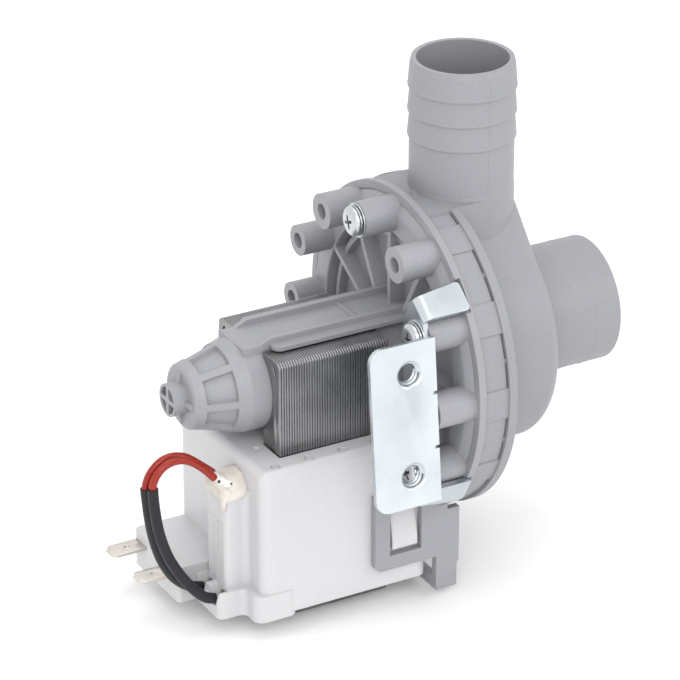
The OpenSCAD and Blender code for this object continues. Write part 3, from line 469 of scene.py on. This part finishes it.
# Stretch of each lead outside its sleeve, and stretch inside it
ROUTES = {
    "outer": (
        (SEAL_TIP + LEAD_START, (-66.3, -10.7, -16), (-70, -10.5, -13), (-73, -10.4, -11.7),
         (-76, -10.4, -11.4), (-78.7, -10.3, -12.4), (-81, -10.2, -14.6), (-82.2, -10, -17),
         (-82.6, -9.9, -19.3)),
        ((-82.2, -9.9, -24.5), (-81.5, -9.9, -30.4), (-80.3, -9.8, -36.4), (-78.2, -9.6, -42.8),
         (-75.2, -9.1, -48.4), (-72.4, -8.6, -51.7), (-70.2, -8, -53.6), (-67.8, -7.4, -55.2),
         (-64.6, -7, -56.4)),
    ),
    "inner": (
        (SEAL_TIP - LEAD_START, (-66.5, -12.9, -16.2), (-70, -13, -13.2), (-73, -13, -11.8),
         (-76, -13, -11.6), (-78.5, -13, -12.4), (-80.5, -13, -14.2), (-81.6, -13, -16.2),
         (-82, -13, -18.2)),
        ((-81.8, -13.1, -23), (-81.1, -13.2, -29), (-80, -13.2, -34.2), (-78, -13.3, -40.2),
         (-75.3, -13.5, -45.5), (-72.5, -13.7, -49.8), (-69.8, -14, -53.1), (-67.3, -14.2, -55.4),
         (-64.6, -14.4, -56.4)),
    ),
}
# Steps between two points of a route, in the wire
ROUTE_STEPS = 2
# Fineness of a wire, round it and along it
WIRE_ROUND_STEPS = 5
WIRE_LONG_STEPS = 4


def smooth_route(points, steps):
    """Points on the smooth curve through the given ones."""
    route = []
    last = len(points) - 1
    for i in range(last):
        p0, p1 = points[max(i - 1, 0)], points[i]
        p2, p3 = points[i + 1], points[min(i + 2, last)]
        for k in range(steps):
            t = k / steps
            route.append(0.5 * (2 * p1 + (p2 - p0) * t + (2 * p0 - 5 * p1 + 4 * p2 - p3) * t * t
                                + (3 * p1 - p0 - 3 * p2 + p3) * t * t * t))
    route.append(points[last])
    return route


def drawn_wire(name, route, radius, caps):
    """A round wire along a route, with closed ends where caps is true."""
    curve = bpy.data.curves.new(name, "CURVE")
    curve.dimensions = "3D"
    curve.bevel_depth = radius * MM
    curve.bevel_resolution = WIRE_ROUND_STEPS
    curve.resolution_u = WIRE_LONG_STEPS
    curve.use_fill_caps = caps
    spline = curve.splines.new("BEZIER")
    spline.bezier_points.add(len(route) - 1)
    for point, place in zip(spline.bezier_points, route):
        point.co = place
        point.handle_left_type = "AUTO"
        point.handle_right_type = "AUTO"
    obj = bpy.data.objects.new(name, curve)
    bpy.context.scene.collection.objects.link(obj)
    return obj


def make_sleeve(name, route):
    """A sleeve with a wall, open at both ends."""
    sleeve = drawn_wire(name, route, SLEEVE_D / 2, caps=False)
    only(sleeve)
    bpy.ops.object.convert(target="MESH")
    modified(sleeve, "SOLIDIFY", thickness=SLEEVE_WALL * MM, offset=-1.0)
    smooth(sleeve, degrees=40)
    return sleeve


def make_leads():
    for side, (bare, covered) in ROUTES.items():
        points = [at(*p) for p in (*bare, *covered)]
        route = smooth_route(points, ROUTE_STEPS)
        bare_end = ROUTE_STEPS * (len(bare) - 1)
        lead = drawn_wire(f"lead_{side}_wire", route, LEAD_D / 2, caps=True)
        sleeve = make_sleeve(f"lead_{side}_sleeve", route[bare_end:])
        placed_piece(lead, "lead_insulation", LEAD, f"lead_{side}")
        placed_piece(sleeve, "sleeve_plastic", SLEEVE, f"sleeve_{side}")


make_leads()


# Core of stacked sheets

SHEETS = 43
# Thickness of a sheet and rounding of its edges, as shares of the pitch
SHEET_SHARE = 0.84
ROUND_SHARE = 0.24
# Edges sharper than this are rounded
SHEET_EDGE_ANGLE = 50
# Faces this close to the core's end belong to it, and points this close are level
END_SLACK = 0.01
LEVEL_SLACK = 0.001


def rim_edges(sheet):
    """Numbers of the sharp edges that lie in the sheet's two faces."""
    choose(sheet, "edges", lambda edge: False)
    bpy.ops.mesh.edges_select_sharp(sharpness=math.radians(SHEET_EDGE_ANGLE))
    leave()
    rims = set()
    for edge in sheet.data.edges:
        start, end = (sheet.data.vertices[i].co for i in edge.vertices)
        if edge.select and abs(start.x - end.x) < LEVEL_SLACK * MM:
            rims.add(edge.index)
    return rims


def make_core():
    core = copied("stator_core", "core_sheets")
    low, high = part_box("stator_core")
    pitch = (high.x - low.x) / SHEETS
    choose(core, "polygons", lambda face: face.center.x > low.x + END_SLACK * MM)
    bpy.ops.mesh.delete(type="FACE")
    bpy.ops.mesh.select_all(action="SELECT")
    bpy.ops.mesh.extrude_region_move(TRANSFORM_OT_translate={"value": (pitch * SHEET_SHARE, 0, 0)})
    leave()
    closed(core)
    rims = rim_edges(core)
    choose(core, "edges", lambda edge: edge.index in rims)
    bpy.ops.mesh.bevel(offset=pitch * ROUND_SHARE, segments=2, affect="EDGES", clamp_overlap=True)
    leave()
    modified(core, "ARRAY", count=SHEETS, use_relative_offset=False, use_constant_offset=True,
             constant_offset_displace=(pitch, 0, 0))
    smooth(core, degrees=25)
    placed_piece(core, "core_steel", CORE, "stator_core")


make_core()


# Pan-head screws with a cross recess, a spring washer and a flat washer

HEAD_H = 3.0
# Thread: its start below the seat, its pitch, its radii, and its crest's two sides from each turn's start
THREAD_START = 1.0
THREAD_PITCH = 1.4
THREAD_ROOT_R = 1.3
THREAD_CREST_R = 1.65
THREAD_CREST = (0.5, 0.7)
# Head, spring washer and flat washer: distance along the screw from its seat, and radius
HEAD_PROFILE = ((-HEAD_H, 0), (-2.97, 1.8), (-2.84, 2.9), (-2.55, 3.7), (-2.15, 4.15), (-1.55, 4.3),
                (-1.45, 3.85), (-1.3, 3.85), (-1.22, 4.45), (-0.78, 4.45), (-0.7, 3.95), (-0.56, 3.95),
                (-0.5, 4.8), (-0.4, 4.9), (-0.1, 4.9), (0, 4.7), (0, THREAD_CREST_R))
# Length of the screw that is left for its ends, start of the tip from the end, and the tip's blunt end
THREAD_SPARE = 2.4
TIP_LENGTH = 1.9
TIP_R = 0.35
TIP_EDGE = 0.1
TIP_MIDDLE = 0.05
# Cross recess: its depth below the head's top, its arms, and their size at the bottom as a share
RECESS_DEPTH = 1.6
RECESS_SPAN = 5.2
RECESS_W = 1.15
RECESS_TAPER = 0.5
# Faces of the recess that get painted shade lie between these depths and inside this radius
RECESS_SHADE_DEPTHS = (0.2, RECESS_DEPTH + 0.1)
RECESS_R = 2.75
# Each screw's solid and the turn of its recess
SCREWS = (("screw_top", 20), ("screw_side", 65), ("bracket_screw_upper", 8), ("bracket_screw_lower", 40))


def recess_bar(centre, turn):
    """Cutter for one arm of the cross, smaller at the bottom."""
    half = Vector((RECESS_DEPTH, RECESS_SPAN / 2, RECESS_W / 2)) * MM
    bar = cut_block(centre - half, centre + half)
    choose(bar, "polygons", lambda face: face.center.x > centre.x + half.x / 2)
    bpy.ops.transform.resize(value=(1, RECESS_TAPER, RECESS_TAPER), center_override=centre)
    bpy.ops.mesh.select_all(action="SELECT")
    bpy.ops.transform.rotate(value=math.radians(turn), orient_axis="X", center_override=centre)
    leave()
    return bar


def screw_profile(length):
    """Distance from the seat and radius, from the head's top to the tip."""
    profile = [*HEAD_PROFILE]
    crest_start, crest_end = THREAD_CREST
    for k in range(int((length - THREAD_SPARE) / THREAD_PITCH)):
        start = THREAD_START + THREAD_PITCH * k
        profile += [(start, THREAD_ROOT_R), (start + crest_start, THREAD_CREST_R),
                    (start + crest_end, THREAD_CREST_R)]
    profile += [(length - TIP_LENGTH, THREAD_ROOT_R), (length - TIP_EDGE, TIP_R), (length - TIP_MIDDLE, 0)]
    return profile


def paint_recess_shade(screw, top, seat):
    """Gives the faces of the recess the screw's second material, a dark metal that paints the shade in the
    recess.
    """
    upper, lower = RECESS_SHADE_DEPTHS
    for face in screw.data.polygons:
        below = (face.center.x - top) / MM
        out = math.hypot(face.center.y - seat.y, face.center.z - seat.z) / MM
        if upper < below < lower and out < RECESS_R:
            face.material_index = 1


def make_screw(node, turn):
    low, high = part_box(node)
    middle = (low + high) / 2
    seat = Vector((low.x + HEAD_H * MM, middle.y, middle.z))
    screw = turned(node + "_pan_head", seat, screw_profile((high.x - low.x) / MM - HEAD_H))
    for quarter in (0, 90):
        without(screw, recess_bar(seat + Vector((-HEAD_H * MM, 0, 0)), turn + quarter))
    closed(screw)
    smooth(screw, degrees=40)
    placed_piece(screw, "screw_metal", SCREW, node)
    # Second material: dark metal painted as shade in the cross recess
    screw.data.materials.append(PAINTED_SHADE_METAL)
    paint_recess_shade(screw, low.x, seat)


for node_name, recess_turn in SCREWS:
    make_screw(node_name, recess_turn)


# Mounting bracket with rolled edges and tapped holes

# Rounding of the sheet's edges, and the angle from which an edge is rounded
EDGE_ROLL = 0.45
EDGE_ANGLE = 40
TAP_R = 3.25
TAP_PITCH = 1.35
TAP_TURNS = 2
# Thread ridge: half its width, sides, steps in a turn, and start below the face
RIDGE = 0.45
RIDGE_SIDES = 4
RIDGE_STEPS = 32
RIDGE_START = 0.65
# Faces this much outside the hole's radius still belong to its wall and get its painted shade
WALL_SLACK = 0.04
# Cutter for a tapped hole with a rounded mouth: height over the face and radius
TAP_MOUTH = ((0.5, 0), (0.5, 4.45), (0, 4.25), (-0.12, 3.9), (-0.35, 3.6), (-0.65, 3.4), (-1.0, TAP_R),
             (-9, TAP_R), (-9, 0))


def make_thread(start, axis):
    """Ridge of a thread that runs down a hole."""
    bpy.ops.object.select_all(action="DESELECT")
    bpy.ops.mesh.primitive_circle_add(vertices=RIDGE_SIDES, radius=RIDGE * MM, location=(TAP_R * MM, 0, 0),
                                      rotation=(math.pi / 2, 0, 0))
    thread = settled(bpy.context.object)
    modified(thread, "SCREW", axis="Z", angle=math.tau, screw_offset=-TAP_PITCH * MM,
             iterations=TAP_TURNS, steps=RIDGE_STEPS, render_steps=RIDGE_STEPS)
    whole(thread)
    bpy.ops.mesh.fill_holes(sides=RIDGE_SIDES)
    leave()
    closed(thread)
    thread.rotation_euler = axis.to_track_quat("Z", "Y").to_euler()
    thread.location = start
    return settled(thread)


def tapped_holes(bracket):
    """Each hole's middle on the bracket's outer face, and its axis."""
    holes = []
    for mount in frame["record"]["mounts"]:
        if mount["name"].startswith("bracket_hole"):
            axis = Vector(mount["axis"])
            place = Vector(mount["pos_m"])
            outside = max(v.co.dot(axis) for v in bracket.data.vertices)
            holes.append((place + (outside - place.dot(axis)) * axis, axis))
    return holes


def tap(bracket, face, axis):
    """Cuts a hole and gives its wall the bracket's second material, a dark metal painted as the shade inside
    the hole.
    """
    without(bracket, turned_on("tap_cutter", face, axis, TAP_MOUTH))
    for flat in bracket.data.polygons:
        away = flat.center - face
        if (away - away.dot(axis) * axis).length < (TAP_R + WALL_SLACK) * MM:
            flat.material_index = 1


def make_bracket():
    bracket = copied("mounting_bracket", "bent_bracket")
    modified(bracket, "BEVEL", width=EDGE_ROLL * MM, segments=3, limit_method="ANGLE",
             angle_limit=math.radians(EDGE_ANGLE))
    closed(bracket)
    # Second material: dark metal painted as shade on the walls of the tapped holes
    coat(bracket, ZINC, PAINTED_SHADE_METAL)
    threads = []
    for face, axis in tapped_holes(bracket):
        tap(bracket, face, axis)
        thread = make_thread(face - RIDGE_START * MM * axis, axis)
        coat(thread, ZINC)
        threads.append(thread)
    bracket = joined("bent_bracket", [bracket, *threads])
    smooth(bracket, degrees=40)
    carried(bracket, "bracket_sheet", "mounting_bracket")


make_bracket()


# Fine marks of the casing's mould: blended joint, beads on the barbs, rings on the inlet, parting line

OUTLET_X = 21.4
NECK_Z = 45.1
# Skin over the joint of neck and outlet: height from the joint and radius
NECK_SKIN = ((1.4, 14.4), (1.4, 14.56), (0.9, 14.66), (0.3, 14.74), (-0.2, 14.8), (-0.8, 14.8),
             (-1.5, 14.7), (-1.5, 14.4), (1.4, 14.4))
# Beads: their places on the outlet, then height from there and radius
BARB_Z = (74.4, 67.2, 60.0)
BARB_BEAD = ((1.2, 14.4), (1.2, 14.98), (0.8, 15.08), (0.4, 15.14), (0.1, 15.12), (-0.12, 15.0),
             (-0.2, 14.8), (-0.2, 14.4), (1.2, 14.4))
# Rings: their places from the inlet's end, then distance from there and radius
RING_X = (-7.7, -14.5)
INLET_RING = ((0.5, 17.8), (0.5, 18.08), (0.1, 18.19), (-0.1, 18.19), (-0.5, 18.08), (-0.5, 17.8),
              (0.5, 17.8))
RING_STEPS = 96
# Parting line: width, radius as a share of the outlet's, stretch across the near wall, and heights
PARTING_W = 0.4
PARTING_SHARE = 1.0035
PARTING_Y = (-40, -14)
PARTING_Z = (NECK_Z + 1, 80.5)


def mould_mark(obj):
    smooth(obj, degrees=50)
    placed_piece(obj, "casing_plastic", MOULD_MARK)


def make_rings():
    mould_mark(turned_on("neck_skin", at(OUTLET_X, 0, NECK_Z), UP, NECK_SKIN, RING_STEPS))
    for k, z in enumerate(BARB_Z):
        mould_mark(turned_on(f"barb_bead_{k + 1}", at(OUTLET_X, 0, z), UP, BARB_BEAD, RING_STEPS))
    for k, x in enumerate(RING_X):
        place = Vector((x * MM, 0, 0))
        mould_mark(turned_on(f"inlet_ring_{k + 1}", place, ALONG, INLET_RING, RING_STEPS))


def make_parting_line():
    line = copied("outlet_spigot", "outlet_parting_line")
    near, far = PARTING_Y
    bottom, top = PARTING_Z
    within(line, cut_block(at(OUTLET_X - PARTING_W / 2, near, bottom),
                           at(OUTLET_X + PARTING_W / 2, far, top)))
    whole(line)
    bpy.ops.transform.resize(value=(1, PARTING_SHARE, 1), center_override=at(OUTLET_X, 0, NECK_Z))
    leave()
    mould_mark(line)


make_rings()
make_parting_line()


# Band of the skirt, from which the raised blocks stand out a little

RIM_MIDDLE = at(0, 0, 0)
BAND_X = (2.2, 9.4)
BAND_R = 46.35
BAND_INNER_R = 44.6
# Groove between the band and the flange
GROOVE_W = 0.55
GROOVE_DEPTH = 0.85
BAND_STEPS = 192
# Flat behind the outlet, where the band ends, and how far its cutter runs past the band
NECK_FLAT_Z = 45.05
NECK_FLAT_HALF = 16
FLAT_PAST = 1


def make_skirt_band():
    rear, front = BAND_X
    groove = front - GROOVE_W
    groove_r = BAND_R - GROOVE_DEPTH
    profile = ((rear, BAND_INNER_R), (rear, BAND_R), (groove, BAND_R), (groove, groove_r),
               (front, groove_r), (front, BAND_INNER_R), (rear, BAND_INNER_R))
    band = turned_on("skirt_band", RIM_MIDDLE, ALONG, profile, BAND_STEPS)
    without(band, cut_block(at(rear - FLAT_PAST, -NECK_FLAT_HALF, NECK_FLAT_Z),
                            at(front + FLAT_PAST, NECK_FLAT_HALF, BAND_R + FLAT_PAST)))
    mould_mark(band)


make_skirt_band()


# Shoulder of the cover's disc, from which the bosses rise

# Distance from the rim and radius
SHOULDER = ((2.0, 44.7), (0.5, 44.7), (-1.4, 42.2), (-1.7, 41.6), (-1.7, 35.9), (-1.5, 35.6),
            (3.3, 35.2), (3.3, 44.7), (2.0, 44.7))


def make_shoulder():
    shoulder = turned_on("cover_shoulder", RIM_MIDDLE, ALONG, SHOULDER, BAND_STEPS)
    smooth(shoulder, degrees=30)
    placed_piece(shoulder, "cover_plastic", COVER)


make_shoulder()


# Push-on tabs with eased edges

TAB_EASE = 0.16
TAB_EDGE_ANGLE = 40


def make_tab(node):
    tab = copied(node, node + "_tab")
    modified(tab, "BEVEL", width=TAB_EASE * MM, segments=2, limit_method="ANGLE",
             angle_limit=math.radians(TAB_EDGE_ANGLE))
    smooth(tab, degrees=40)
    placed_piece(tab, "tab_metal", TAB, node)


make_tab("terminal_near")
make_tab("terminal_far")


# Bead of silicone over the lead exit

# Lumps of the bead: place and half sizes
BEAD = (((-57.0, -10.6, -24.3), (5.6, 6.2, 5.1)), ((-60.2, -14.2, -24.9), (2.7, 2.5, 2.5)),
        ((-56.4, -14.5, -24.4), (2.8, 2.6, 2.5)), ((-60.0, -6.3, -24.4), (3.0, 3.0, 2.6)),
        ((-61.2, -9.8, -25.0), (2.0, 6.0, 2.3)), ((-58.4, -15.2, -25.2), (3.6, 1.7, 1.8)),
        ((-61.9, -15.4, -27.4), (0.9, 0.9, 2.4)), ((-61.2, -11.8, -21.6), (2.5, 2.7, 2.2)))
BEAD_VOXEL = 0.28
# Rounds of smoothing before and after the surface is made uneven
BEAD_ROUNDS = 14
UNEVEN_ROUNDS = 4
UNEVEN_SPAN = 4.5
UNEVEN_HEIGHT = 0.6
# Wall of the box, and rear, near side and top of the lead tower, on which the bead lies
BOX_WALL_X = -55.05
TOWER_REAR_X = -61.95
TOWER_NEAR_Y = -15.95
TOWER_TOP_Z = -23.95
# Blocks that stand for wall and tower, and reach past the bead: lowest and highest corner
BEARER_FRONT_X = BOX_WALL_X + 20
BEARER_BOTTOM_Z = -40
BEARERS = (((BOX_WALL_X, -30, BEARER_BOTTOM_Z), (BEARER_FRONT_X, 20, 0)),
           ((TOWER_REAR_X, TOWER_NEAR_Y, BEARER_BOTTOM_Z), (BEARER_FRONT_X, -2, TOWER_TOP_Z)))
LUMP_SEGMENTS = 24
LUMP_RINGS = 14
SMOOTH_SHARE = 0.5


def relaxed(body, rounds):
    modified(body, "SMOOTH", factor=SMOOTH_SHARE, iterations=rounds)


def lumped(name, lumps, voxel, rounds):
    """One rounded body from overlapping lumps."""
    parts = []
    for place, half in lumps:
        bpy.ops.object.select_all(action="DESELECT")
        bpy.ops.mesh.primitive_uv_sphere_add(segments=LUMP_SEGMENTS, ring_count=LUMP_RINGS, radius=1,
                                             location=at(*place))
        part = bpy.context.object
        part.scale = Vector(half) * MM
        parts.append(settled(part))
    body = joined(name, parts)
    modified(body, "REMESH", mode="VOXEL", voxel_size=voxel * MM)
    relaxed(body, rounds)
    return body


def make_bead():
    bead = lumped("silicone_bead", BEAD, BEAD_VOXEL, BEAD_ROUNDS)
    uneven = bpy.data.textures.new("bead_unevenness", "CLOUDS")
    uneven.noise_scale = UNEVEN_SPAN * MM
    modified(bead, "DISPLACE", texture=uneven, strength=UNEVEN_HEIGHT * MM, mid_level=0.5,
             texture_coords="LOCAL")
    relaxed(bead, UNEVEN_ROUNDS)
    for low, high in BEARERS:
        without(bead, cut_block(at(*low), at(*high)))
    closed(bead)
    smooth(bead, degrees=60)
    placed_piece(bead, "silicone", SILICONE, "fuse_seal")


make_bead()


# White plug round the ends of the leads, lying on the bead

# Lumps of the plug: place and half sizes
PLUG = (((-62.6, -12.0, -20.0), (1.5, 1.6, 1.4)), ((-61.4, -13.3, -20.8), (1.6, 1.5, 1.3)),
        ((-60.0, -14.5, -21.5), (1.6, 1.4, 1.2)))
PLUG_VOXEL = 0.2
PLUG_ROUNDS = 4
# Pits in the plug, along the line of sight: place and radius
PITS = (((-62.3, -13.8, -20.7), 0.48), ((-59.4, -15.4, -21.4), 0.32))
PIT_LENGTH = 4
PIT_SIDES = 20
# Dark bottom of a pit, a bar of painted shade: its share of the pit's radius, and how much deeper it lies
BOTTOM_SHARE = 0.98
BOTTOM_DEEPER = 1.55


def sight_bar(place, radius, deeper):
    """A round bar along the line of sight."""
    bpy.ops.object.select_all(action="DESELECT")
    bpy.ops.mesh.primitive_cylinder_add(vertices=PIT_SIDES, radius=radius * MM, depth=PIT_LENGTH * MM,
                                        rotation=SIGHT.to_track_quat("Z", "Y").to_euler(),
                                        location=at(*place) + deeper * MM * SIGHT.normalized())
    return settled(bpy.context.object)


def make_plug():
    plug = lumped("lead_plug", PLUG, PLUG_VOXEL, PLUG_ROUNDS)
    pit_shades = []
    for place, radius in PITS:
        without(plug, sight_bar(place, radius, deeper=0))
        # A dark bar deep in each pit paints the shade at its bottom
        bottom = sight_bar(place, radius * BOTTOM_SHARE, BOTTOM_DEEPER)
        coat(bottom, PIT_SHADE)
        pit_shades.append(bottom)
    closed(plug)
    smooth(plug, degrees=60)
    coat(plug, PLUG_WHITE)
    plug = joined("lead_plug", [plug, *pit_shades])
    carried(plug, "silicone")


make_plug()


# Stage: pale floor, soft light

# Floor: side in metres, gap below the pump, its two colours and its roughness
FLOOR_SIDE = 8
FLOOR_GAP = 0.2
FLOOR_DARK = (0.9, 0.9, 0.9)
FLOOR_LIGHT = (0.93, 0.93, 0.93)
FLOOR_ROUGH = 0.8
WORLD_STRENGTH = 1.12
# Light panels: name, place and side in metres, and power in watts
PANELS = (
    ("key_panel", (-0.5, -0.85, 0.58), 0.7, 4.1),
    ("top_panel", (-0.05, 0.0, 1.0), 0.7, 2.1),
    ("side_panel", (0.6, -0.6, 0.45), 0.5, 1.2),
)
# Point in metres at which the panels aim
PANELS_TO = Vector((-0.08, 0, 0))


def lay_floor():
    bpy.ops.mesh.primitive_plane_add(size=FLOOR_SIDE, location=(0, 0, cad_low.z - FLOOR_GAP * MM))
    floor = bpy.context.object
    floor.name = "studio_floor"
    material, tree, shader = new_material("pale_floor")
    tone = ramp(tree, noise(tree, scale=3, detail=3), FLOOR_DARK, FLOOR_LIGHT)
    tree.links.new(tone, shader.inputs["Base Color"])
    shader.inputs["Roughness"].default_value = FLOOR_ROUGH
    coat(floor, material)


def light_stage():
    world = bpy.data.worlds.new("studio_world")
    world.use_nodes = True
    background = world.node_tree.nodes["Background"]
    background.inputs["Color"].default_value = (1, 1, 1, 1)
    background.inputs["Strength"].default_value = WORLD_STRENGTH
    bpy.context.scene.world = world
    for name, place, side, power in PANELS:
        bpy.ops.object.light_add(type="AREA", location=place)
        panel = bpy.context.object
        panel.name = name
        panel.data.size = side
        panel.data.energy = power
        panel.rotation_euler = (PANELS_TO - panel.location).to_track_quat("-Z", "Y").to_euler()
    bpy.context.scene.view_settings.view_transform = "Standard"
    bpy.context.scene.view_settings.look = "None"


lay_floor()
light_stage()
